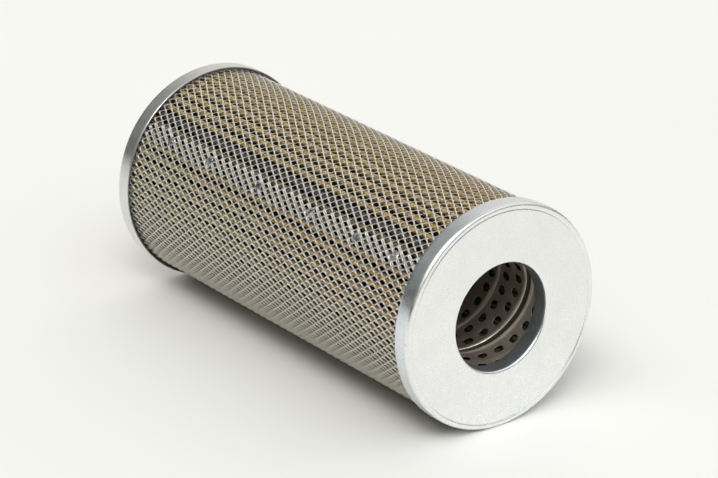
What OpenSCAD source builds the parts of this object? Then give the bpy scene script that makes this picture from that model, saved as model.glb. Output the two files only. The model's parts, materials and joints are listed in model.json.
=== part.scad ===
// Oil filter element, lying on its side: the axis runs along X and the front cap is at +X.
// Two pressed end caps close a perforated spiral core, a pleated paper pack and a metal screen.

/* [Overall] */
// Length over the two end caps
overall_len = 180; // [140:5:240]
// Outside diameter of the end caps
cap_d = 84; // [80:1:90]
// Diameter of the bore in each end cap
bore_d = 40; // [36:0.5:40.5]

/* [End caps] */
// Sheet thickness of the caps
cap_sheet = 0.8; // [0.6:0.1:1]
// Height of the outer skirt
skirt_h = 7; // [5:0.5:9]
// Depth of the inward collar
collar_h = 6.5; // [4:0.5:8]
// Outside radius of the two bends
bend_r = 1.3; // [1.1:0.1:1.6]
// Depth of the adhesive bed in each cap
potting_h = 3; // [2:0.5:4]

/* [Core tube] */
// Wall of the core strip
core_wall = 0.6; // [0.4:0.1:0.8]
// Axial advance of the spiral in one turn
spiral_lead = 42; // [40:1:60]
// Diameter of a perforation
hole_d = 3.6; // [2:0.1:3.8]
// Holes in one turn of a row
holes_per_turn = 21.5; // [12:0.5:22]
// Axial width of the folded lock seam
seam_w = 6; // [4:0.1:7]
// Axial width of a stiffening rib
rib_w = 3.2; // [1:0.1:3.2]

/* [Pleated media] */
// Number of pleats
pleat_count = 62; // [40:1:64]
// Thickness of the filter paper
paper_t = 0.5; // [0.3:0.05:0.5]
// Thickness of the support mesh under the paper
mesh_t = 0.3; // [0.2:0.05:0.3]

/* [Outer screen] */
// Thickness of one layer of screen
screen_t = 0.6; // [0.4:0.1:0.6]
// Angle from the top to the start of the lap, towards -Y
lap_start = 47; // [0:1:340]
// Angle that the lap covers
lap_angle = 11; // [6:1:20]
// Diameter of a spot weld
weld_d = 3.6; // [2:0.1:5]

/* [Hidden] */
$fn = 96;

// End caps
half_len = overall_len / 2;
cap_r = cap_d / 2;
bore_r = bore_d / 2;
inner_bend_r = bend_r - cap_sheet;
skirt_inner_r = cap_r - cap_sheet;
bend_steps = 8;

// Core tube: it slips over the collars, and the folded seam stands on its outside
slip = 0.1;
core_inner_r = bore_r + cap_sheet + slip;
core_outer_r = core_inner_r + core_wall;
core_half_len = half_len - bend_r;
fold_h = 0.55;
bead_h = 0.3;
flank = 0.4;
// Inside, the strip's two edges roll into the seam on either side of a gap
seam_gap = 2;
seam_lip_rear = 3.2;
seam_lip_front = 2.7;
// The seam crosses the angle seam_angle at seam_x
seam_angle = 220;
seam_x = 72.7;
spiral_half_len = half_len - collar_h - seam_w / 2 - 0.5;
spiral_steps = 36; // steps in one turn
// Axial distance in front of the seam, as a share of the lead
rib_places = [0.25, 0.602];
// The same for each row of holes, and how far the row is turned, in quarters of its step
hole_rows_at = [[0.161, 1], [0.336, 2], [0.514, 3], [0.7, 0], [0.857, 1]];
hole_step = 360 / holes_per_turn;
hole_half_len = half_len - collar_h;

// Adhesive beds: the pack and the screen end on them
potting_top = half_len - cap_sheet;
pack_half_len = potting_top - potting_h;

// Outer screen: one wrap whose edges lap, spot welded along the lap
lap_t = 0.4;
screen_outer_r = skirt_inner_r - lap_t - 0.1;
screen_inner_r = screen_outer_r - screen_t;
weld_h = 0.25;
weld_x = [70, 48, 21, -11, -42, -67]; // set by hand on the real part, so not even

// Pleated pack: paper upstream, support mesh downstream, one fold circle at each crest and root
clip_t = 0.2;
clip_pleat = 7; // counted from the top, so that the joint is beside the screen's lap
crest_fold_r = 0.9;
root_fold_r = 0.45;
crest_centre_r = screen_inner_r - 0.1 - clip_t - paper_t / 2 - crest_fold_r;
root_centre_r = core_outer_r + fold_h + 0.1 + mesh_t + paper_t / 2 + root_fold_r;
half_pitch = 180 / pleat_count;
to_root = [root_centre_r * cos(half_pitch) - crest_centre_r, root_centre_r * sin(half_pitch)];
fold_angle = atan2(to_root.y, to_root.x) - acos((crest_fold_r + root_fold_r) / norm(to_root));
crest_steps = 6;
root_steps = 4;
clip_leg = 4;
clip_steps = 12;

// Turns the profile frame so that its Z runs along +X and its X points up
module along_axis()
{
    rotate(a = 180, v = [1, 0, 1])
        children();
}

// Copies a front piece to the rear end
module at_rear()
{
    mirror([1, 0, 0])
        children();
}

// Points of an arc of radius r round centre c
function arc(c, r, from, to, steps) =
    [for (k = [0 : steps]) let (a = from + (to - from) * k / steps) c + r * [cos(a), sin(a)]];

// A point at distance r from the axis
function polar(r, a) = r * [cos(a), sin(a)];

// Pressed cap: skirt, rounded corner, flat face, rolled lip and inward collar
module end_cap()
{
    skirt_c = [cap_r - bend_r, half_len - bend_r];
    lip_c = [bore_r + bend_r, half_len - bend_r];
    along_axis()
        rotate_extrude()
            polygon(concat(
                [[cap_r, half_len - skirt_h]],
                arc(skirt_c, bend_r, 0, 90, bend_steps),
                arc(lip_c, bend_r, 90, 180, bend_steps),
                [[bore_r, half_len - collar_h], [bore_r + cap_sheet, half_len - collar_h]],
                arc(lip_c, inner_bend_r, 180, 90, bend_steps),
                arc(skirt_c, inner_bend_r, 90, 0, bend_steps),
                [[skirt_inner_r, half_len - skirt_h]]
            ));
}

// Adhesive bed in the bottom of the cap's trough, outside the core
module potting()
{
    skirt_c = [cap_r - bend_r, half_len - bend_r];
    along_axis()
        rotate_extrude()
            polygon(concat(
                [[core_outer_r, pack_half_len], [skirt_inner_r, pack_half_len]],
                arc(skirt_c, inner_bend_r, 0, 90, bend_steps),
                [[core_outer_r, potting_top]]
            ));
}

// One closed wall of the pleats, at a distance of offset outside the paper's middle
function pleat_loop(offset) =
    [for (i = [0 : pleat_count - 1])
        let (a = 2 * i * half_pitch, b = a + half_pitch)
        each concat(
            arc(polar(crest_centre_r, a), crest_fold_r + offset,
                a - fold_angle, a + fold_angle, crest_steps),
            arc(polar(root_centre_r, b), root_fold_r - offset,
                a + fold_angle + 180, 2 * b + 180 - a - fold_angle, root_steps)
        )];

// A pleated layer between two offsets
module pleat_layer(outside, inside)
{
    along_axis()
        linear_extrude(height = 2 * pack_half_len, center = true)
            difference()
            {
                polygon(pleat_loop(outside));
                polygon(pleat_loop(inside));
            }
}

// Folded strip that grips the two ends of the paper where they meet
module seam_clip()
{
    c = polar(crest_centre_r, 0);
    inner = crest_fold_r + paper_t / 2;
    outer = inner + clip_t;
    leg = clip_leg * [cos(fold_angle + 90), sin(fold_angle + 90)];
    tip = c + polar(inner, fold_angle) + leg;
    rim = c + polar(outer, fold_angle) + leg;
    along_axis()
        rotate([0, 0, 2 * half_pitch * clip_pleat])
            linear_extrude(height = 2 * pack_half_len, center = true)
                polygon(concat(
                    [rim],
                    arc(c, outer, fold_angle, -fold_angle, clip_steps),
                    [[rim.x, -rim.y], [tip.x, -tip.y]],
                    arc(c, inner, -fold_angle, fold_angle, clip_steps),
                    [tip]
                ));
}

// The screen sheet: one full wrap and a lap of doubled mesh
module screen_wrap()
{
    along_axis()
        rotate([0, 0, lap_start])
        {
            rotate_extrude()
                translate([screen_inner_r, -pack_half_len])
                    square([screen_t, 2 * pack_half_len]);
            rotate_extrude(angle = lap_angle)
                translate([screen_outer_r - screen_t / 2, -pack_half_len])
                    square([screen_t / 2 + lap_t, 2 * pack_half_len]);
        }
}

// Low weld nuggets on the lap
module welds()
{
    nugget_r = screen_outer_r + lap_t;
    intersection()
    {
        along_axis()
            rotate_extrude()
                translate([nugget_r, -half_len])
                    square([weld_h, overall_len]);
        for (x = weld_x)
            translate([x, 0, 0])
                rotate([lap_start + lap_angle / 2, 0, 0])
                    cylinder(d = weld_d, h = cap_r);
    }
}

// Angle of the lock seam's middle at position x
function seam_angle_at(x) = seam_angle + (x - seam_x) / spiral_lead * 360;

// Spiral-wound tube with rows of holes between the seam and the ribs
module perforated_tube()
{
    difference()
    {
        along_axis()
            difference()
            {
                cylinder(r = core_outer_r, h = 2 * core_half_len, center = true);
                cylinder(r = core_inner_r, h = overall_len, center = true);
            }
        hole_rows();
    }
}

// Rows of holes along the spiral, each turned a quarter of a step from the one before
module hole_rows()
{
    for (row = hole_rows_at)
    {
        shift = row[0] * spiral_lead;
        turned = row[1] / 4;
        start = seam_angle_at(-hole_half_len - shift) / hole_step;
        first = (ceil(start - turned) + turned) * hole_step;
        for (a = [first : hole_step : seam_angle_at(hole_half_len - shift)])
            translate([seam_x + shift + (a - seam_angle) / 360 * spiral_lead, 0, 0])
                rotate([a, 0, 0])
                    translate([0, 0, bore_r - 1])
                        cylinder(d = hole_d, h = core_wall + 3);
    }
}

// A bead swept along the spiral: its section is a list of [axial shift, radius]
module spiral_bead(section, shift)
{
    from = seam_angle_at(-spiral_half_len - shift);
    to = seam_angle_at(spiral_half_len - shift);
    n = len(section);
    rings = ceil((to - from) / 360 * spiral_steps);
    points = [for (k = [0 : rings], p = section)
        let (a = from + (to - from) * k / rings)
        [seam_x + shift + (a - seam_angle) / 360 * spiral_lead + p.x, -p.y * sin(a), p.y * cos(a)]];
    sides = [for (k = [0 : rings - 1], j = [0 : n - 1])
        let (m = (j + 1) % n)
        [k * n + j, k * n + m, (k + 1) * n + m, (k + 1) * n + j]];
    ends = [[for (j = [n - 1 : -1 : 0]) j], [for (j = [0 : n - 1]) rings * n + j]];
    polyhedron(points, concat(split(sides), ends));
}

// Splits four-sided faces into triangles
function split(quads) = [for (q = quads) each [[q[0], q[1], q[2]], [q[0], q[2], q[3]]]];

// Section of a bead of width w from radius base to radius top, with sloping flanks
function bead_section(w, base, top) =
    let (s = [[-w / 2, base], [flank - w / 2, top], [w / 2 - flank, top], [w / 2, base]])
    top > base ? s : [for (i = [3 : -1 : 0]) s[i]];

// Folded edges outside the wall, and the two rolled lips that show inside
module lock_seam()
{
    chord = 1 / cos(180 / spiral_steps);
    spiral_bead(bead_section(seam_w, core_outer_r * chord, core_outer_r + fold_h), 0);
    spiral_bead(bead_section(seam_lip_rear, core_inner_r, core_inner_r - bead_h),
                -(seam_gap + seam_lip_rear) / 2);
    spiral_bead(bead_section(seam_lip_front, core_inner_r, core_inner_r - bead_h),
                (seam_gap + seam_lip_front) / 2);
}

// Two stiffening ribs rolled inwards between the turns of the seam
module ribs()
{
    for (place = rib_places)
        spiral_bead(bead_section(rib_w, core_inner_r, core_inner_r - bead_h), place * spiral_lead);
}

module front_end_cap() { color("#dfe0de") end_cap(); }
module rear_end_cap() { color("#dfe0de") at_rear() end_cap(); }
module front_potting() { color("#c9b99a") potting(); }
module rear_potting() { color("#c9b99a") at_rear() potting(); }
module core_tube() { color("#6f655a") perforated_tube(); }
module core_lock_seam() { color("#8c8377") lock_seam(); }
module core_ribs() { color("#8c8377") ribs(); }
module filter_media() { color("#b09a55") pleat_layer(paper_t / 2, -paper_t / 2); }
module support_mesh() { color("#8a8a86") pleat_layer(-paper_t / 2, -paper_t / 2 - mesh_t); }
module media_seam_clip() { color("#b5b6b4") seam_clip(); }
module outer_screen() { color("#a9aaa8") screen_wrap(); }
module screen_welds() { color("#6e6f6e") welds(); }

front_end_cap();
rear_end_cap();
front_potting();
rear_potting();
core_tube();
core_lock_seam();
core_ribs();
filter_media();
support_mesh();
media_seam_clip();
outer_screen();
screen_welds();
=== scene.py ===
import json
import math

import bmesh
import bpy
import numpy as np
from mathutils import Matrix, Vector, noise


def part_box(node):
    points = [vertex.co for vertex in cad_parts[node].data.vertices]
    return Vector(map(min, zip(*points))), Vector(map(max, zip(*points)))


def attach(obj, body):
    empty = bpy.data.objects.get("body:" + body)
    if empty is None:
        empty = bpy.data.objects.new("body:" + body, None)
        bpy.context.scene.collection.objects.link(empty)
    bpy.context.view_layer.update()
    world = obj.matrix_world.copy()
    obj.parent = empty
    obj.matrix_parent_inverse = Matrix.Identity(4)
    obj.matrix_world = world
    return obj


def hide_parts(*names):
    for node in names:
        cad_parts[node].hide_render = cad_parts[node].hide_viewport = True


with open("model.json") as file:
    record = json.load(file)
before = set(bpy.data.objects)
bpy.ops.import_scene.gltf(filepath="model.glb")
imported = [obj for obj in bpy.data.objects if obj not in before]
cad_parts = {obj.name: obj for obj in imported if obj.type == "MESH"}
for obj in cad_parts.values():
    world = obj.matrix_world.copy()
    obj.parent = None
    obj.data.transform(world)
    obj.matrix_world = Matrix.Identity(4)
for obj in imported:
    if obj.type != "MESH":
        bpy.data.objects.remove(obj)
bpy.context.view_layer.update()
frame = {"nodes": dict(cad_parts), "record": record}

MM = 0.001

# ---------------------------------------------------------------- sizes from the frame
# The axis runs along X. An angle is measured from the top (+Z) towards -Y, in degrees.
CAP_LOW, CAP_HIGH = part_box("front_end_cap")
HALF_LEN = CAP_HIGH.x
CAP_R = CAP_HIGH.z
SKIRT_EDGE = CAP_LOW.x
CORE_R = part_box("core_tube")[1].z                 # outside radius of the core's wall
CORE_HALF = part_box("core_tube")[1].x
PACK_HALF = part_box("filter_media")[1].x
CREST_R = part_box("filter_media")[1].z             # where the crests end
MOUNTS = {m["name"]: m for m in frame["record"]["mounts"]}
BORE_R = MOUNTS["front_bore"]["dims"]["r_mm"] * MM
FLOOR_Z = -CAP_R

# Sheet and bend sizes, as in the CAD part
CAP_SHEET = 0.8 * MM
BEND_R = 1.3 * MM
COLLAR_DEPTH = 6.5 * MM
CORE_WALL = 0.6 * MM
CORE_INNER_R = CORE_R - CORE_WALL
SPIRAL_LEAD = 42 * MM
HOLE_R = 1.78 * MM
HOLES_PER_TURN = 21.5
QUARTER = 360 / HOLES_PER_TURN / 4                # a quarter of the way to the next hole
SEAM_ANGLE, SEAM_X = 53 * QUARTER, 72.9 * MM      # the lock seam passes this angle at this x
PLEATS = 62
PAPER_T = 0.5 * MM
MESH_T = 0.3 * MM
WIRE_PITCH = 0.7 * MM
CREST_FOLD_R = 0.9 * MM
ROOT_FOLD_R = 0.45 * MM
CLIP_PLEAT = 7
LAP_START, LAP_ANGLE = 47, 11
LAP_END = LAP_START + LAP_ANGLE
WELD_X = [70 * MM, 48 * MM, 21 * MM, -11 * MM, -42 * MM, -67 * MM]

rng = np.random.default_rng(7)


def at(x, r, angle):
    """A point at distance r from the axis."""
    a = math.radians(angle)
    return (x, -r * math.sin(a), r * math.cos(a))


def ease(t):
    """0 below 0, 1 above 1, smooth between."""
    t = min(max(t, 0.0), 1.0)
    return t * t * (3 - 2 * t)


def arc(cx, cy, r, start, end, steps):
    """Points of an arc in a plane, angles in degrees."""
    angles = np.radians(np.linspace(start, end, steps + 1))
    return [(cx + r * math.cos(a), cy + r * math.sin(a)) for a in angles]


# ---------------------------------------------------------------- materials
class Look:
    """A material built from nodes round one Principled shader."""

    def __init__(self, name, **values):
        self.mat = bpy.data.materials.new(name)
        self.mat.use_nodes = True
        self.tree = self.mat.node_tree
        self.bsdf = self.tree.nodes["Principled BSDF"]
        self.coords = self.tree.nodes.new("ShaderNodeTexCoord").outputs["Object"]
        for key, value in values.items():
            self.bsdf.inputs[key.replace("_", " ")].default_value = value

    def plug(self, socket, key):
        """Links a socket to an input of the shader."""
        self.tree.links.new(socket, self.bsdf.inputs[key])

    def xyz(self):
        """The three coordinates of a point on the object."""
        node = self.tree.nodes.new("ShaderNodeSeparateXYZ")
        self.tree.links.new(self.coords, node.inputs["Vector"])
        return node.outputs["X"], node.outputs["Y"], node.outputs["Z"]

    def stretched(self, scale):
        """The object's coordinates, each times its own scale."""
        node = self.tree.nodes.new("ShaderNodeMapping")
        node.inputs["Scale"].default_value = scale
        self.tree.links.new(self.coords, node.inputs["Vector"])
        return node.outputs["Vector"]

    def noise(self, scale, detail=4, rough=0.55, vector=None):
        """Cloudy pattern, mostly between 0.3 and 0.7. The scale is about how many clouds a metre has."""
        node = self.tree.nodes.new("ShaderNodeTexNoise")
        node.inputs["Scale"].default_value = scale
        node.inputs["Detail"].default_value = detail
        node.inputs["Roughness"].default_value = rough
        self.tree.links.new(vector or self.coords, node.inputs["Vector"])
        return node.outputs["Fac"]

    def from_axis(self):
        """Distance from the part's axis."""
        node = self.tree.nodes.new("ShaderNodeVectorMath")
        node.operation = "LENGTH"
        self.tree.links.new(self.stretched((0, 1, 1)), node.inputs[0])
        return node.outputs["Value"]

    def spots(self, scale):
        """Distance to the nearest of many scattered points."""
        node = self.tree.nodes.new("ShaderNodeTexVoronoi")
        node.inputs["Scale"].default_value = scale
        self.tree.links.new(self.coords, node.inputs["Vector"])
        return node.outputs["Distance"]

    def remap(self, fac, low, high, to_low=0.0, to_high=1.0):
        """Turns low to high into to_low to to_high, and holds those outside."""
        node = self.tree.nodes.new("ShaderNodeMapRange")
        node.inputs["From Min"].default_value = low
        node.inputs["From Max"].default_value = high
        node.inputs["To Min"].default_value = to_low
        node.inputs["To Max"].default_value = to_high
        self.tree.links.new(fac, node.inputs["Value"])
        return node.outputs["Result"]

    def math(self, operation, a, b=0.0):
        """One operation on two values, each a number or a socket."""
        node = self.tree.nodes.new("ShaderNodeMath")
        node.operation = operation
        for socket, value in zip(node.inputs, (a, b)):
            if isinstance(value, (int, float)):
                socket.default_value = value
            else:
                self.tree.links.new(value, socket)
        return node.outputs["Value"]

    def blend(self, fac, first, second, mode="MIX"):
        """Mixes two colours, each a tuple or a socket."""
        node = self.tree.nodes.new("ShaderNodeMix")
        node.data_type = "RGBA"
        node.blend_type = mode
        factor, colour_a, colour_b = node.inputs[0], node.inputs[6], node.inputs[7]
        for socket, value in ((factor, fac), (colour_a, first), (colour_b, second)):
            if isinstance(value, (int, float)):
                socket.default_value = value
            elif isinstance(value, tuple):
                socket.default_value = (*value, 1)
            else:
                self.tree.links.new(value, socket)
        return node.outputs[2]

    def tint(self, colour, mask, strength, over):
        """Lays a second colour over the first, as strongly as the mask says."""
        return self.blend(self.math("MULTIPLY", mask, strength), colour, over)

    def bump(self, height, depth, strength, normal=None):
        """Fine relief from a height pattern, on top of an earlier one if there is one."""
        node = self.tree.nodes.new("ShaderNodeBump")
        node.inputs["Distance"].default_value = depth
        node.inputs["Strength"].default_value = strength
        self.tree.links.new(height, node.inputs["Height"])
        if normal is not None:
            self.tree.links.new(normal, node.inputs["Normal"])
        return node.outputs["Normal"]


def zinc_look(name, metal, dark, light, rough_low, rough_high):
    """Zinc plated sheet: pale, satin, with clouds, scuffs and small pits."""
    look = Look(name, Metallic=metal)
    clouds = look.remap(look.noise(90, 5, 0.6), 0.3, 0.7)
    colour = look.blend(clouds, dark, light)
    spangle = look.remap(look.noise(900, 3, 0.6), 0.38, 0.62)
    colour = look.tint(colour, spangle, 0.08, (0.60, 0.64, 0.68))
    pits = look.remap(look.spots(160), 0.03, 0.09, 1.0, 0.0)
    sparse = look.remap(look.noise(55, 2), 0.56, 0.62)
    marks = look.math("MULTIPLY", pits, sparse)
    look.plug(look.tint(colour, marks, 0.5, (0.42, 0.41, 0.39)), "Base Color")
    rough = look.remap(look.noise(240, 5, 0.65), 0.3, 0.7, rough_low, rough_high)
    look.plug(rough, "Roughness")
    fine = look.bump(look.noise(1500, 4, 0.65), 0.005 * MM, 0.2)
    waves = look.bump(look.noise(110, 3), 0.03 * MM, 0.35, fine)
    look.plug(look.bump(marks, -0.06 * MM, 0.8, waves), "Normal")
    return look.mat


def screen_look():
    """Plated expanded steel: satin strands that differ a little, with painted shade darkening them low down.
    """
    look = Look("expanded_steel", Metallic=0.9)
    patches = look.remap(look.noise(160, 4), 0.3, 0.7)
    colour = look.blend(patches, (0.96, 0.94, 0.905), (0.99, 0.975, 0.94))
    grime = look.remap(look.noise(1100, 3), 0.60, 0.74)
    colour = look.tint(colour, grime, 0.4, (0.34, 0.33, 0.31))
    # Painted shade: the strands are multiplied darker towards the bottom, by height alone.
    low = look.remap(look.xyz()[2], 12 * MM, -25 * MM)
    look.plug(look.blend(low, colour, (0.50, 0.49, 0.44), "MULTIPLY"), "Base Color")
    look.plug(look.remap(look.noise(900, 3), 0.3, 0.7, 0.28, 0.45), "Roughness")
    look.plug(look.bump(look.noise(3000, 3), 0.02 * MM, 0.6), "Normal")
    return look.mat


def paper_look():
    """Resin-treated filter paper: khaki crests with orange-brown stains that lean orange towards the top and
    front, partly as a painted warm light; painted light along the top; painted shade under the lap, down in
    the folds and in dark blots that stand for the strands' shadows."""
    look = Look("filter_paper", Roughness=0.78, Specular_IOR_Level=0.3)
    x, y, z = look.xyz()
    # The stains lean orange towards the front and the top: partly random stain, partly a painted warm light.
    front = look.remap(x, -60 * MM, 90 * MM, -0.12, 0.10)
    top = look.remap(z, -30 * MM, 40 * MM, -0.10, 0.08)
    drift = look.math("ADD", look.noise(38, 4, 0.65), look.math("ADD", front, top))
    drift = look.math("ADD", drift, look.math("MULTIPLY", look.noise(420, 2), 0.6))
    drift = look.remap(drift, 0.75, 0.95)
    colour = look.blend(drift, (0.36, 0.31, 0.11), (0.42, 0.23, 0.085))
    fleck = look.remap(look.noise(560, 4, 0.6), 0.42, 0.66)
    colour = look.tint(colour, fleck, 0.7, (0.84, 0.70, 0.38))
    fibres = look.remap(look.noise(1, 4, 0.6, look.stretched((900, 4200, 4200))), 0.45, 0.75)
    colour = look.tint(colour, fibres, 0.3, (0.24, 0.16, 0.07))
    # Painted light: the paper is painted paler along the top of the pack.
    crown = look.remap(z, 26 * MM, 41 * MM)
    colour = look.tint(colour, crown, 0.5, (0.72, 0.52, 0.22))
    # Painted shadow: dark blots at random that stand for the strands' shadows on the paper.
    strand_shadow_blots = look.remap(look.noise(1100, 3, 0.6), 0.45, 0.60)
    colour = look.tint(colour, strand_shadow_blots, 0.65, (0.13, 0.075, 0.025))
    # Painted shade under the lap.
    angle = look.math("ARCTAN2", look.math("MULTIPLY", y, -1.0), z)
    after_start = look.remap(angle, math.radians(LAP_START - 6), math.radians(LAP_START - 3))
    before_end = look.remap(angle, math.radians(LAP_END + 1), math.radians(LAP_END - 2))
    lap_shade = look.math("MULTIPLY", after_start, before_end)
    colour = look.tint(colour, lap_shade, 0.75, (0.07, 0.06, 0.045))
    # Painted shade: the paper darkens down in the folds, away from the crests.
    depth = look.remap(look.from_axis(), CREST_R - 3.2 * MM, CREST_R - 0.25 * MM)
    depth = look.math("POWER", depth, 2.0)
    look.plug(look.blend(depth, (0.030, 0.018, 0.008), colour), "Base Color")
    look.plug(look.bump(look.noise(3400, 4, 0.65), 0.05 * MM, 0.7), "Normal")
    return look.mat


def core_look(name, metal, dark, light, rough_low, rough_high):
    """Plain strip steel, dulled by oil. Its lighter copy on the rolled lips' crests is a painted highlight,
    and its dark copy on the seam's gap, the outer skin and the punched edges is painted shade.
    """
    look = Look(name, Metallic=metal)
    stain = look.remap(look.noise(130, 5, 0.6), 0.3, 0.7)
    colour = look.blend(stain, dark, light)
    specks = look.remap(look.noise(1500, 2), 0.62, 0.72)
    look.plug(look.tint(colour, specks, 0.5, (0.12, 0.10, 0.08)), "Base Color")
    look.plug(look.remap(look.noise(500, 4), 0.3, 0.7, rough_low, rough_high), "Roughness")
    look.plug(look.bump(look.noise(1800, 3), 0.012 * MM, 0.5), "Normal")
    return look.mat


def wire_look():
    """Fine woven wire cloth: crossing wires with dark gaps between them; the dim wires and the near-black
    gaps are painted shade.
    """
    look = Look("woven_wire", Metallic=0.8, Roughness=0.4)
    per_metre = math.tau / WIRE_PITCH
    along = look.math("SINE", look.math("MULTIPLY", look.xyz()[0], per_metre))
    across = look.math("SINE", look.math("MULTIPLY", look.from_axis(), per_metre))
    wires = look.remap(look.math("MAXIMUM", along, across), 0.35, 0.8)
    # Painted shade: the gaps and the wires are kept dark for the shade behind the core's wall.
    look.plug(look.blend(wires, (0.03, 0.026, 0.02), (0.27, 0.25, 0.21)), "Base Color")
    look.plug(look.bump(wires, 0.12 * MM, 0.8), "Normal")
    return look.mat


def adhesive_look():
    """Cured adhesive, grey and slightly cloudy."""
    look = Look("adhesive", Roughness=0.45)
    clouds = look.remap(look.noise(140, 4), 0.35, 0.65)
    look.plug(look.blend(clouds, (0.34, 0.34, 0.33), (0.46, 0.455, 0.44)), "Base Color")
    look.plug(look.bump(look.noise(300, 3), 0.15 * MM, 0.6), "Normal")
    return look.mat


def weld_look():
    """Squashed metal of a spot weld: bright on its high points, blue-grey where scorched."""
    look = Look("spot_weld", Metallic=1.0)
    melt = look.remap(look.noise(520, 4, 0.6), 0.40, 0.60)
    look.plug(look.blend(melt, (0.16, 0.18, 0.20), (0.82, 0.82, 0.80)), "Base Color")
    look.plug(look.remap(look.noise(700, 3), 0.3, 0.7, 0.22, 0.45), "Roughness")
    look.plug(look.bump(look.noise(800, 4, 0.6), 0.25 * MM, 0.9), "Normal")
    return look.mat


def clip_look():
    """Plain steel strip, rolled along its length, painted dark for the shade it lies in under the screen."""
    look = Look("clip_strip_painted_shade", Metallic=1.0)
    streaks = look.remap(look.noise(1, 3, 0.5, look.stretched((60, 1500, 1500))), 0.3, 0.7)
    # Painted shade: both tones are far darker than bare steel.
    look.plug(look.blend(streaks, (0.13, 0.125, 0.12), (0.20, 0.195, 0.19)), "Base Color")
    look.plug(look.remap(streaks, 0, 1, 0.42, 0.55), "Roughness")
    return look.mat


# ---------------------------------------------------------------- mesh helpers
def add_piece(name, verts, faces, materials, indices=None, smooth=None):
    """A mesh object, linked into the scene. smooth is the angle above which an edge stays sharp."""
    mesh = bpy.data.meshes.new(name)
    mesh.from_pydata([tuple(v) for v in verts], [], faces)
    for mat in materials:
        mesh.materials.append(mat)
    if indices is not None:
        mesh.polygons.foreach_set("material_index", indices)
    mesh.validate()
    if smooth is not None:
        mesh.polygons.foreach_set("use_smooth", [True] * len(mesh.polygons))
        mesh.set_sharp_from_angle(angle=math.radians(smooth))
    piece = bpy.data.objects.new(name, mesh)
    bpy.context.scene.collection.objects.link(piece)
    return piece


def stands_for(piece, slot, *nodes):
    """Hangs a finished piece on the part's root body and hides the CAD parts that it stands for."""
    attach(piece, "root")
    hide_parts(*nodes)


# ---------------------------------------------------------------- end caps
CAP_SEGMENTS = 288
PLATE, COLLAR_SHADE, EDGE_SHADE, SKIRT = range(4)           # the cap's materials, in their slots' order; the collar and the free edge get painted shade
FACE_MARGIN = 4 * MM                              # the face's dents fade out this near its edges
FACE_DENT = 0.05 * MM
ROUND_DENT = 0.012 * MM
DENTS = 55                                        # how closely the dents lie
# The face lies a little below the rim: (run towards the axis, drop)
RIM_STEP = [(0.45 * MM, 0.0), (0.55 * MM, 0.04 * MM), (0.70 * MM, 0.18 * MM), (0.80 * MM, 0.26 * MM),
            (0.90 * MM, 0.27 * MM), (1.06 * MM, 0.20 * MM), (1.26 * MM, 0.09 * MM), (1.42 * MM, 0.06 * MM)]


def cap_profile():
    """Outline of the pressed sheet as (radius, x) from the skirt's free edge, and the material of the
    facet that starts at each point."""
    lip_x = HALF_LEN - BEND_R
    inner_bend = BEND_R - CAP_SHEET
    roll = CAP_SHEET / 2
    skirt = arc(CAP_R - roll, SKIRT_EDGE + roll, roll, 180, 360, 8)
    skirt += [(CAP_R, SKIRT_EDGE + (lip_x - SKIRT_EDGE) * t) for t in (0.25, 0.5, 0.75)]
    corner = arc(CAP_R - BEND_R, lip_x, BEND_R, 0, 90, 12)
    rim = CAP_R - BEND_R
    corner += [(rim - run, HALF_LEN - drop) for run, drop in RIM_STEP]
    low = HALF_LEN - RIM_STEP[-1][1]
    face = [(r, low) for r in np.linspace(rim - RIM_STEP[-1][0], BORE_R + 2 * BEND_R, 14)[1:]]
    lip = arc(BORE_R + BEND_R, lip_x, BEND_R, 90, 180, 12)
    collar_end = HALF_LEN - COLLAR_DEPTH
    collar = [(BORE_R, lip_x + (collar_end - lip_x) * t) for t in (0.3, 0.6)]
    rolled_edge = arc(BORE_R + roll, collar_end + roll, roll, 180, 360, 6)
    inner_lip = arc(BORE_R + BEND_R, lip_x, inner_bend, 180, 90, 4)
    inner_corner = arc(CAP_R - BEND_R, lip_x, inner_bend, 90, 0, 4)
    outline = skirt + corner + face + lip + collar + rolled_edge + inner_lip + inner_corner
    shaded_edge, on_face = 6, 7                          # facets: of the free edge, which get painted shade, and of the lip above the bore, which keep the plate's look
    zones = [EDGE_SHADE] * shaded_edge + [SKIRT] * (len(skirt) - shaded_edge)
    zones += [PLATE] * (len(corner + face) + on_face)
    zones += [COLLAR_SHADE] * (len(lip + collar + rolled_edge) - on_face - 1)
    zones += [PLATE] * (len(outline) - len(zones))
    return outline, zones


def end_cap(name, side, node, skirt):
    """Revolves the profile; the sheet is very slightly uneven, as pressed parts are."""
    profile, zones = cap_profile()
    verts = []
    for k in range(CAP_SEGMENTS):
        angle = 360 * k / CAP_SEGMENTS
        for r, x in profile:
            p = Vector(at(side * x, r, angle))
            uneven = 1 + noise.noise(p * DENTS + Vector((side * 3, 0, 0)))
            flat = ease((r - BORE_R) / FACE_MARGIN) * ease((CAP_R - r) / FACE_MARGIN)
            verts.append(at(side * (x - FACE_DENT * flat * uneven), r - ROUND_DENT * uneven, angle))
    n = len(profile)
    faces = []
    for k in range(CAP_SEGMENTS):
        a, b = k * n, (k + 1) % CAP_SEGMENTS * n
        for j in range(n):
            m = (j + 1) % n
            quad = (a + j, a + m, b + m, b + j)
            faces.append(quad[::-1] if side > 0 else quad)
    cap = add_piece(name, verts, faces, [ZINC, ZINC_COLLAR_SHADE, ZINC_EDGE_SHADE, skirt], zones * CAP_SEGMENTS, smooth=50)
    stands_for(cap, "zinc_cap", node)


# ---------------------------------------------------------------- outer screen
# The sheet is flat first: x along the axis and s round the circumference, from the edge hidden in the
# lap, over the top and back up to the lap from below. Its lattice is a little askew, as it is on the
# real sheet, so rows of diamonds drift round as they run along.
SCREEN_R = 40.34 * MM
LONG_WAY = np.array([4.473, 0.233]) * MM
SHORT_WAY = np.array([-0.106, 3.005]) * MM
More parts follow.
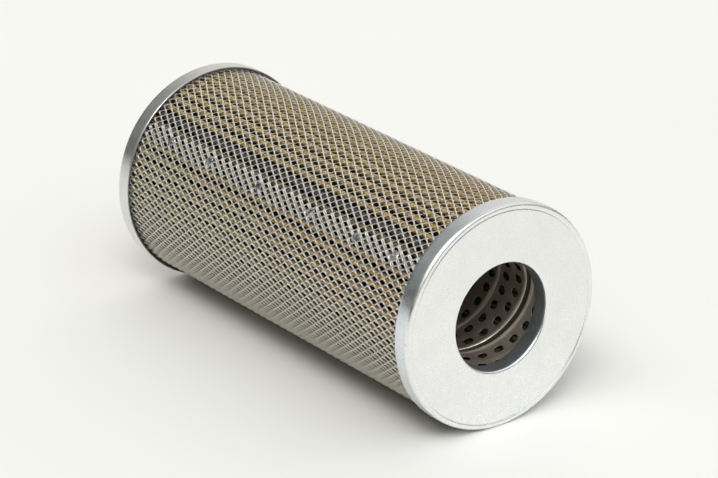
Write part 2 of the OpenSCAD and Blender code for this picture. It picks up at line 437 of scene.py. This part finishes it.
# Corners of an opening, as shares of the half diagonals
OPENING = [(0.78, 0), (0.19, 0.65), (-0.19, 0.65), (-0.78, 0), (-0.19, -0.65), (0.19, -0.65)]
STRAND_TILT = 0.26 * MM
STRAND_T = 0.20 * MM
LAP_RISE = 0.52 * MM
LAP_CLIMB = 9 * MM                                # the run in which the last stretch climbs
END_FLARE = 0.42 * MM                             # the ends open out into the caps
FLARE_LEAD, FLARE_RUN = 2 * MM, 3 * MM            # the flare starts this far before the skirt's edge
WELD_PRESS = 0.22 * MM                            # how far a weld presses the outer layer down
PRESS_SIZE, SQUASH_SIZE = 2.6 * MM, 1.9 * MM
SHEET_WAVE = 0.05 * MM
SHORT_OF_PACK = 0.6 * MM                          # the sheet stops this short of the pack's ends
SPARE_COLUMNS, SPARE_ROWS = 6, 4                  # the lattice is askew, so some are needed past the edges
LAP_W = math.radians(LAP_ANGLE) * SCREEN_R
AROUND = math.tau * SCREEN_R


def screen_height(x, s):
    """Extra radius of the sheet: its last stretch climbs over its first and lies on it."""
    climb = ease((s - AROUND + LAP_CLIMB) / LAP_CLIMB)
    gap = min(math.hypot(x - weld, s - (AROUND + LAP_W / 2)) for weld in WELD_X)
    press = WELD_PRESS * ease(1.6 - gap / PRESS_SIZE)
    wave = SHEET_WAVE * noise.noise(Vector((x * 60, s * 60, 3.0)))
    flare = END_FLARE * (1 - climb) * ease((abs(x) - SKIRT_EDGE + FLARE_LEAD) / FLARE_RUN)
    return LAP_RISE * climb + flare - press + wave


def near_weld(x, s):
    """1 at a weld, 0 from about 3 mm away."""
    layers = (LAP_W / 2, AROUND + LAP_W / 2)
    gap = min(math.hypot(x - weld, s - place) for weld in WELD_X for place in layers)
    return ease(1.7 - gap / SQUASH_SIZE)


def hole_corners(centre):
    """Six corners of one opening as (x, s, tilt): right, top right, top left, left, low left, low right."""
    long_half, short_half = LONG_WAY / 2, SHORT_WAY / 2
    return [(*(centre + u * long_half + v * short_half), np.sign(v)) for u, v in OPENING]


def outer_screen():
    """Expanded metal: bonds and tilted strands round diamond openings, wrapped with a lap."""
    reach = PACK_HALF - SHORT_OF_PACK
    length = AROUND + LAP_W
    half_long, half_short = LONG_WAY / 2, SHORT_WAY / 2
    verts, corner_of = [], {}

    def corner(i, j, which):
        """Index of a corner of the opening at lattice place (i, j), made when first asked for."""
        if (i, j) not in corner_of:
            centre = i * half_long + j * half_short
            corner_of[i, j] = len(verts)
            for x, s, tilt in hole_corners(centre):
                squash = 1 - 0.8 * near_weld(x, s)
                r = SCREEN_R + screen_height(x, s) + tilt * STRAND_TILT * squash
                verts.append(at(x, r, LAP_END - math.degrees(s / SCREEN_R)))
        return corner_of[i, j] + which

    right, top_right, top_left, left, low_left, low_right = range(6)
    columns = int(reach / half_long[0]) + SPARE_COLUMNS
    rows = int(length / half_short[1]) + SPARE_ROWS
    faces = []

    def on_sheet(i, j):
        x, s = i * half_long + j * half_short
        return abs(x) <= reach and 0 <= s <= length

    for i in range(-columns, columns + 1):
        for j in range(-SPARE_ROWS, rows):
            if (i + j) % 2 or not on_sheet(i, j):
                continue
            faces.append((corner(i + 1, j, left), corner(i, j + 1, low_right), corner(i, j + 1, low_left),
                          corner(i - 1, j, right), corner(i, j - 1, top_left), corner(i, j - 1, top_right)))
            if on_sheet(i + 1, j + 1):
                faces.append((corner(i, j + 1, low_right), corner(i + 1, j, left),
                              corner(i + 1, j, top_left), corner(i, j + 1, right)))
            if on_sheet(i + 1, j - 1):
                faces.append((corner(i, j - 1, top_right), corner(i, j - 1, right),
                              corner(i + 1, j, low_left), corner(i + 1, j, left)))
    screen = add_piece("outer_screen_mesh", verts, faces, [SCREEN], smooth=120)
    thick = screen.modifiers.new("thickness", "SOLIDIFY")
    thick.thickness = STRAND_T
    thick.offset = -1
    stands_for(screen, "screen_steel", "outer_screen")


def spot_welds():
    """Squashed nuggets between the strands of the lap, each with an uneven outline."""
    rings, around = 6, 28
    crown, foot = 0.42, -0.1                      # heights over the screen's radius, all in mm here
    size, ragged, lump, edge_drop = 2.0, 0.75, 0.14, 0.30
    verts, faces = [], []
    middle = LAP_START + LAP_ANGLE / 2
    for number, weld in enumerate(WELD_X):
        base = len(verts)
        for layer in (0, 1):
            verts.append(at(weld, SCREEN_R + (crown if layer == 0 else foot) * MM, middle))
            for ring in range(1, rings + 1):
                t = ring / rings
                for k in range(around):
                    a = math.tau * k / around
                    way = Vector((math.cos(a), math.sin(a), 0))
                    outline = noise.noise(way * 1.7 + Vector((0, 0, 9 * number)))
                    reach = (size + ragged * outline) * MM * t
                    x, s = weld + reach * way.x, reach * way.y
                    lumps = lump * noise.noise(Vector((x, s, number * 0.01)) * 1100)
                    height = (crown + lumps - edge_drop * t ** 3) if layer == 0 else foot
                    verts.append(at(x, SCREEN_R + height * MM, middle + math.degrees(s / SCREEN_R)))
            for k in range(around):
                m = (k + 1) % around
                start = base + layer * (1 + rings * around)
                fan = (start, start + 1 + k, start + 1 + m)
                faces.append(fan[::-1] if layer == 0 else fan)
                for ring in range(rings - 1):
                    a = start + 1 + ring * around
                    quad = (a + k, a + around + k, a + around + m, a + m)
                    faces.append(quad[::-1] if layer == 0 else quad)
        top = base + 1 + (rings - 1) * around
        low = top + 1 + rings * around
        for k in range(around):
            m = (k + 1) % around
            faces.append((top + k, top + m, low + m, low + k))
    welds = add_piece("weld_nuggets", verts, faces, [WELD], smooth=60)
    stands_for(welds, "weld", "screen_welds")


# ---------------------------------------------------------------- pleated pack
HALF_PITCH = 180 / PLEATS
CREST_C = CREST_R - CREST_FOLD_R - PAPER_T / 2
CORE_CLEARANCE = 0.65 * MM
ROOT_C = CORE_R + CORE_CLEARANCE + MESH_T + PAPER_T / 2 + ROOT_FOLD_R
CREST_STEPS, ROOT_STEPS = 8, 5
PAPER_SLICES, WIRE_SLICES = 26, 14                # sections along the pack


def fold_angle():
    """Half of the angle that a fold turns through, so that the legs run straight between folds."""
    half = math.radians(HALF_PITCH)
    run = (ROOT_C * math.cos(half) - CREST_C, ROOT_C * math.sin(half))
    turn = math.acos((CREST_FOLD_R + ROOT_FOLD_R) / math.hypot(*run))
    return math.degrees(math.atan2(run[1], run[0]) - turn)


# Each crest leans by a part of a degree, lies a little low and wanders along its length, except the
# one that the clip holds
PLEAT_SHIFT = rng.normal(0, 0.22, PLEATS)
PLEAT_DROP = np.abs(rng.normal(0, 0.12, PLEATS)) * MM
PLEAT_SHIFT[CLIP_PLEAT] = PLEAT_DROP[CLIP_PLEAT] = 0
PLEAT_WANDER, WANDER_RUN = 0.5, 34 * MM


def pleat_loop(offset, x):
    """One side of the pleats at position x, offset outside the paper's middle."""
    turn = fold_angle()
    crest_r, root_r = CREST_FOLD_R + offset, ROOT_FOLD_R - offset
    points = []
    for i in range(PLEATS):
        wander = PLEAT_WANDER * noise.noise(Vector((i * 0.41, x / WANDER_RUN, 5.0)))
        a = 2 * i * HALF_PITCH + PLEAT_SHIFT[i] + (wander if i != CLIP_PLEAT else 0)
        b = (2 * i + 1) * HALF_PITCH
        centre = CREST_C - PLEAT_DROP[i]
        for k in range(CREST_STEPS + 1):
            t = math.radians(-turn + 2 * turn * k / CREST_STEPS)
            points.append((centre + crest_r * math.cos(t), crest_r * math.sin(t), a))
        start, end = turn + 180 - HALF_PITCH, 180 - turn + HALF_PITCH
        for k in range(ROOT_STEPS + 1):
            t = math.radians(start + (end - start) * k / ROOT_STEPS)
            points.append((ROOT_C + root_r * math.cos(t), root_r * math.sin(t), b))
    loop = []
    for u, v, angle in points:
        loop.append(at(x, math.hypot(u, v), angle + math.degrees(math.atan2(v, u))))
    return loop


def pleat_layer(name, outside, inside, slices, mat, slot, node):
    """A pleated layer between two offsets, closed at both ends."""
    verts = []
    places = np.linspace(-PACK_HALF, PACK_HALF, slices)
    for offset in (outside, inside):
        for x in places:
            verts += pleat_loop(offset, x)
    n = len(verts) // (2 * slices)
    faces = []
    for layer in (0, 1):
        for i in range(slices - 1):
            a = (layer * slices + i) * n
            for j in range(n):
                m = (j + 1) % n
                quad = (a + j, a + n + j, a + n + m, a + m)
                faces.append(quad[::-1] if layer == 0 else quad)
    for end in (0, slices - 1):
        a, b = end * n, (slices + end) * n
        for j in range(n):
            m = (j + 1) % n
            quad = (a + j, a + m, b + m, b + j)
            faces.append(quad[::-1] if end == 0 else quad)
    stands_for(add_piece(name, verts, faces, [mat], smooth=50), slot, node)


# ---------------------------------------------------------------- core tube
# The strip is laid out along its spiral: m counts quarter holes along it and q is the distance
# from the seam's middle along the axis.
TURN = round(4 * HOLES_PER_TURN)
WALL, LIP, GAP = range(3)                         # the strip's materials, in their slots' order
LIP_HEIGHT, GAP_HEIGHT = -0.28, 0.2               # facets beyond these get a lip's painted highlight or the gap's painted shade
HOLE_RINGS = [(1.10, 0.0), (1.0, 0.04 * MM)]      # (share of the hole's radius, how far the ring sinks)
# Outline across the seam as (q, radius outside the wall) in mm: the rear edge rises and rolls out into
# the gap, and the front edge rolls back in
SEAM_SHAPE = [(-3.9, 0), (-3.3, -0.08), (-2.6, -0.24), (-2.0, -0.40), (-1.6, -0.46), (-1.3, -0.40),
              (-1.08, -0.15), (-1.0, 0.25), (-0.92, 0.55), (0.86, 0.55), (0.95, 0.2), (1.1, -0.12),
              (1.4, -0.36), (1.8, -0.45), (2.3, -0.40), (2.8, -0.24), (3.3, -0.08), (3.7, 0)]
# Ribs as (middle, height); across, a rib is one wave of a cosine
RIB_W = 3.2
RIB_WAVE = [(RIB_W * (k / 10 - 0.5), 0.5 * math.cos(math.tau * k / 10) - 0.5) for k in range(11)]
RIBS = [(10.5, 0.15), (25.28, 0.45)]
# Rows of holes as (low edge, hole, high edge, quarter turns), all in mm in front of the seam
ROWS = [(3.7, 6.76, 8.9, 0), (12.1, 14.11, 17.85, 1), (17.85, 21.59, 23.68, 2),
        (26.88, 29.40, 32.70, 3), (32.70, 35.99, 38.1, 0)]


def core_tube():
    """Spiral-wound strip with a folded seam, two ribs and rows of punched holes."""
    verts, faces, zones, known = [], [], [], {}
    strip_end = SPIRAL_LEAD / MM + SEAM_SHAPE[0][0]

    def spot(m, q, rise=0.0):
        """Vertex at strip place (m, q). The end of one turn is the start of the next."""
        if q > strip_end - 1e-6:
            m, q = m + TURN, q - SPIRAL_LEAD / MM
        key = (m, round(q * 1000))
        if key not in known:
            known[key] = len(verts)
            x = SEAM_X + m * QUARTER / 360 * SPIRAL_LEAD + q * MM
            verts.append(at(x, CORE_INNER_R + rise * MM, m * QUARTER + SEAM_ANGLE))
        return known[key]

    turns_back = math.floor((-CORE_HALF - SEAM_X - SPIRAL_LEAD) / SPIRAL_LEAD * TURN)
    turns_on = math.ceil((CORE_HALF - SEAM_X + SPIRAL_LEAD) / SPIRAL_LEAD * TURN)

    def bead(middle, shape):
        """A shape rolled into the strip, all along it."""
        for (q0, h0), (q1, h1) in zip(shape, shape[1:]):
            zone = GAP if max(h0, h1) > GAP_HEIGHT else LIP if min(h0, h1) < LIP_HEIGHT else WALL
            for m in range(turns_back, turns_on):
                faces.append((spot(m, middle + q0, h0), spot(m + 1, middle + q0, h0),
                              spot(m + 1, middle + q1, h1), spot(m, middle + q1, h1)))
                zones.append(zone)

    def hole(m, low, middle, high):
        """One cell of a row, four quarters long, round a punched hole."""
        levels = [low + (high - low) * k / 4 for k in range(5)]
        rim = [(m + k, low) for k in range(4)] + [(m + 4, q) for q in levels[:4]]
        rim += [(m + 4 - k, high) for k in range(4)] + [(m, q) for q in levels[:0:-1]]
        centre_m = m + 2
        step = math.radians(QUARTER) * CORE_INNER_R
        rings = [[spot(*point) for point in rim]]
        for size, sink in HOLE_RINGS:
            ring = []
            for rim_m, q in rim:
                along = (rim_m - centre_m) * step
                across = (rim_m - centre_m) * QUARTER / 360 * SPIRAL_LEAD + (q - middle) * MM
                share = HOLE_R * size / math.hypot(along, across)
                turned = centre_m + along * share / step
                x = SEAM_X + centre_m * QUARTER / 360 * SPIRAL_LEAD + middle * MM + across * share
                ring.append(len(verts))
                verts.append(at(x, CORE_INNER_R + sink, turned * QUARTER + SEAM_ANGLE))
            rings.append(ring)
        for outer, inner in zip(rings, rings[1:]):
            for k in range(len(rim)):
                n = (k + 1) % len(rim)
                faces.append((outer[k], outer[n], inner[n], inner[k]))
                zones.append(WALL)

    bead(0, SEAM_SHAPE)
    for rib, height in RIBS:
        bead(rib, [(q, height * wave) for q, wave in RIB_WAVE])
    for low, middle, high, turned in ROWS:
        start = turns_back - turns_back % 4 + turned - 2
        for m in range(start, turns_on, 4):
            hole(m, low, middle, high)

    # The thickness puts the outer skin and the punched edges two slots on, so all of those get the painted
    # shade, as the gap does
    looks = [CORE, CORE_LIP_HIGHLIGHT, CORE_SHADE, CORE_SHADE, CORE_SHADE]
    core = add_piece("core_strip_tube", verts, faces, looks, zones)
    mesh = bmesh.new()
    mesh.from_mesh(core.data)
    bmesh.ops.remove_doubles(mesh, verts=mesh.verts, dist=0.002 * MM)
    for side in (1, -1):
        bmesh.ops.bisect_plane(mesh, geom=mesh.verts[:] + mesh.edges[:] + mesh.faces[:], dist=1e-7,
                               plane_co=(side * CORE_HALF, 0, 0), plane_no=(side, 0, 0), clear_outer=True)
    # The faces look at the axis, so that the thickness lies outside them
    bmesh.ops.recalc_face_normals(mesh, faces=mesh.faces)
    probe = mesh.faces[len(mesh.faces) // 2]
    centre = probe.calc_center_median()
    if probe.normal.dot(Vector((0, centre.y, centre.z))) > 0:
        bmesh.ops.reverse_faces(mesh, faces=mesh.faces)
    for face in mesh.faces:
        face.smooth = True
    mesh.to_mesh(core.data)
    mesh.free()
    thick = core.modifiers.new("thickness", "SOLIDIFY")
    thick.thickness = CORE_WALL
    thick.offset = -1
    thick.material_offset = thick.material_offset_rim = 2
    core.data.set_sharp_from_angle(angle=math.radians(40))
    stands_for(core, "core_steel", "core_tube", "core_lock_seam", "core_ribs")


# ---------------------------------------------------------------- stage
# Soft lights far away, as (degrees round from +X, degrees up, colour). The broad ones are pale screens
# and walls right round the part; the narrow ones make an arc of softboxes above its front.
BROAD, NARROW = 12.0, 80.0                        # how sharply a light falls off round its middle
SOFTBOXES = {
    BROAD: [(53, 8, (0.20, 0.17, 0.13)), (143, 8, (0.84, 0.82, 0.76)), (-37, 30, (0.26, 0.26, 0.26)),
            (8, 30, (0.31, 0.30, 0.30)), (53, 30, (0.31, 0.30, 0.30)), (98, 30, (0.85, 0.82, 0.73)),
            (233, 30, (0.15, 0.17, 0.18)), (-37, 52, (1.32, 1.31, 1.20)), (8, 52, (0.54, 0.68, 0.84)),
            (53, 52, (0.49, 0.515, 0.57)), (143, 52, (0.82, 0.78, 0.73)), (188, 52, (0.07, 0.09, 0.11)),
            (233, 52, (0.47, 0.44, 0.36))],
    NARROW: [(-37, 40, (2.75, 2.68, 2.60)), (-37, 47, (4.55, 4.51, 4.47)), (-37, 56, (3.20, 3.23, 3.25)),
             (-60, 52, (4.42, 4.34, 4.25)), (-15, 40, (1.27, 1.30, 1.32)), (-90, 60, (5.32, 5.27, 5.20)),
             (10, 45, (0.86, 0.855, 0.87)), (53, 45, (0.28, 0.28, 0.28))],
}
AMBIENT = (0.024, 0.022, 0.020)
FLOOR_HALF = 6.0
# The camera's place, aim and lens, found from the photo's perspective
CAMERA_AT = (0.8939, -0.6689, 0.4695)
CAMERA_AIM = Vector((-0.7358, 0.5551, -0.3880))
CAMERA_LENS = 164.9


def floor_and_light():
    """Pale floor, and a world of large soft lights round the part."""
    mesh = bpy.data.meshes.new("floor")
    corners = [(FLOOR_HALF * x, FLOOR_HALF * y, FLOOR_Z) for x, y in ((-1, -1), (1, -1), (1, 1), (-1, 1))]
    mesh.from_pydata(corners, [], [(0, 1, 2, 3)])
    floor = bpy.data.objects.new("floor", mesh)
    bpy.context.scene.collection.objects.link(floor)
    look = Look("floor_paper", Roughness=0.9, Specular_IOR_Level=0.1)
    tone = look.remap(look.noise(3, 3), 0.3, 0.7)
    look.plug(look.blend(tone, (0.86, 0.855, 0.83), (0.88, 0.875, 0.85)), "Base Color")
    mesh.materials.append(look.mat)

    world = bpy.data.worlds.new("room")
    bpy.context.scene.world = world
    world.use_nodes = True
    nodes, links = world.node_tree.nodes, world.node_tree.links
    way = nodes.new("ShaderNodeTexCoord").outputs["Generated"]

    def step(kind, operation, output, *values):
        """One node of the world, with each input a number, a tuple or a socket."""
        node = nodes.new(kind)
        node.operation = operation
        for socket, value in zip(node.inputs, values):
            if isinstance(value, bpy.types.NodeSocket):
                links.new(value, socket)
            else:
                socket.default_value = value
        return node.outputs[output]

    total = AMBIENT
    for sharpness, lights in SOFTBOXES.items():
        for around, up, colour in lights:
            a, e = math.radians(around), math.radians(up)
            towards = (math.cos(e) * math.cos(a), math.cos(e) * math.sin(a), math.sin(e))
            facing = step("ShaderNodeVectorMath", "DOT_PRODUCT", "Value", way, towards)
            spread = step("ShaderNodeMath", "MULTIPLY_ADD", "Value", facing, sharpness, -sharpness)
            glow = step("ShaderNodeMath", "EXPONENT", "Value", spread)
            total = step("ShaderNodeVectorMath", "MULTIPLY_ADD", "Vector", glow, colour, total)
    links.new(total, nodes["Background"].inputs["Color"])


def camera():
    """Long lens, in front of the front cap, above it and on its -Y side."""
    data = bpy.data.cameras.new("camera")
    data.sensor_width = 36
    data.lens = CAMERA_LENS
    data.clip_end = 50
    cam = bpy.data.objects.new("camera", data)
    cam.location = CAMERA_AT
    cam.rotation_euler = CAMERA_AIM.to_track_quat("-Z", "Y").to_euler()
    bpy.context.scene.collection.objects.link(cam)
    bpy.context.scene.camera = cam


# ---------------------------------------------------------------- looks and pieces
ZINC = zinc_look("zinc_plate", 1.0, (0.86, 0.865, 0.865), (0.91, 0.912, 0.905), 0.22, 0.34)
# Front skirt: a darker, bluish copy of the plate; partly the plating's blue tint, partly painted cool shade.
ZINC_SKIRT_SHADE = zinc_look("zinc_skirt_cool_shade", 1.0, (0.74, 0.775, 0.82), (0.80, 0.835, 0.875), 0.22, 0.34)
ZINC_DULL = zinc_look("zinc_plate_dull", 1.0, (0.68, 0.685, 0.685), (0.76, 0.765, 0.76), 0.26, 0.38)
# Collar down into the bore: a dark copy of the plate, a painted reflection of the dark bore.
ZINC_COLLAR_SHADE = zinc_look("zinc_collar_painted_shade", 0.75, (0.19, 0.21, 0.225), (0.27, 0.29, 0.305), 0.40, 0.50)
# The skirt's rolled free edge: a dark copy of the plate, painted shade in place of its highlight.
ZINC_EDGE_SHADE = zinc_look("zinc_edge_painted_shade", 0.7, (0.17, 0.175, 0.18), (0.25, 0.255, 0.26), 0.5, 0.62)
SCREEN = screen_look()
WELD = weld_look()
PAPER = paper_look()
WIRE = wire_look()
CORE = core_look("core_steel", 0.75, (0.38, 0.33, 0.265), (0.48, 0.42, 0.34), 0.42, 0.60)
# A lighter copy for the lips' crests: painted highlight.
CORE_LIP_HIGHLIGHT = core_look("core_lip_painted_highlight", 0.55, (0.70, 0.63, 0.53), (0.84, 0.77, 0.66), 0.28, 0.40)
# A dark copy for the seam's gap, the outer skin and the punched edges: painted shade.
CORE_SHADE = core_look("core_painted_shade", 0.75, (0.085, 0.066, 0.048), (0.13, 0.105, 0.08), 0.55, 0.7)

end_cap("front_cap_shell", 1, "front_end_cap", ZINC_SKIRT_SHADE)
end_cap("rear_cap_shell", -1, "rear_end_cap", ZINC_DULL)
outer_screen()
spot_welds()
pleat_layer("paper_pleats", PAPER_T / 2, -PAPER_T / 2, PAPER_SLICES, PAPER, "filter_paper", "filter_media")
pleat_layer("wire_cloth_pleats", -PAPER_T / 2, -PAPER_T / 2 - MESH_T, WIRE_SLICES, WIRE,
            "support_mesh", "support_mesh")
core_tube()

for node, mat in (("front_potting", adhesive_look()), ("rear_potting", adhesive_look()),
                  ("media_seam_clip", clip_look())):
    for slot in frame["nodes"][node].material_slots:
        slot.material = mat

floor_and_light()
camera()
bpy.context.scene.view_settings.view_transform = "Standard"
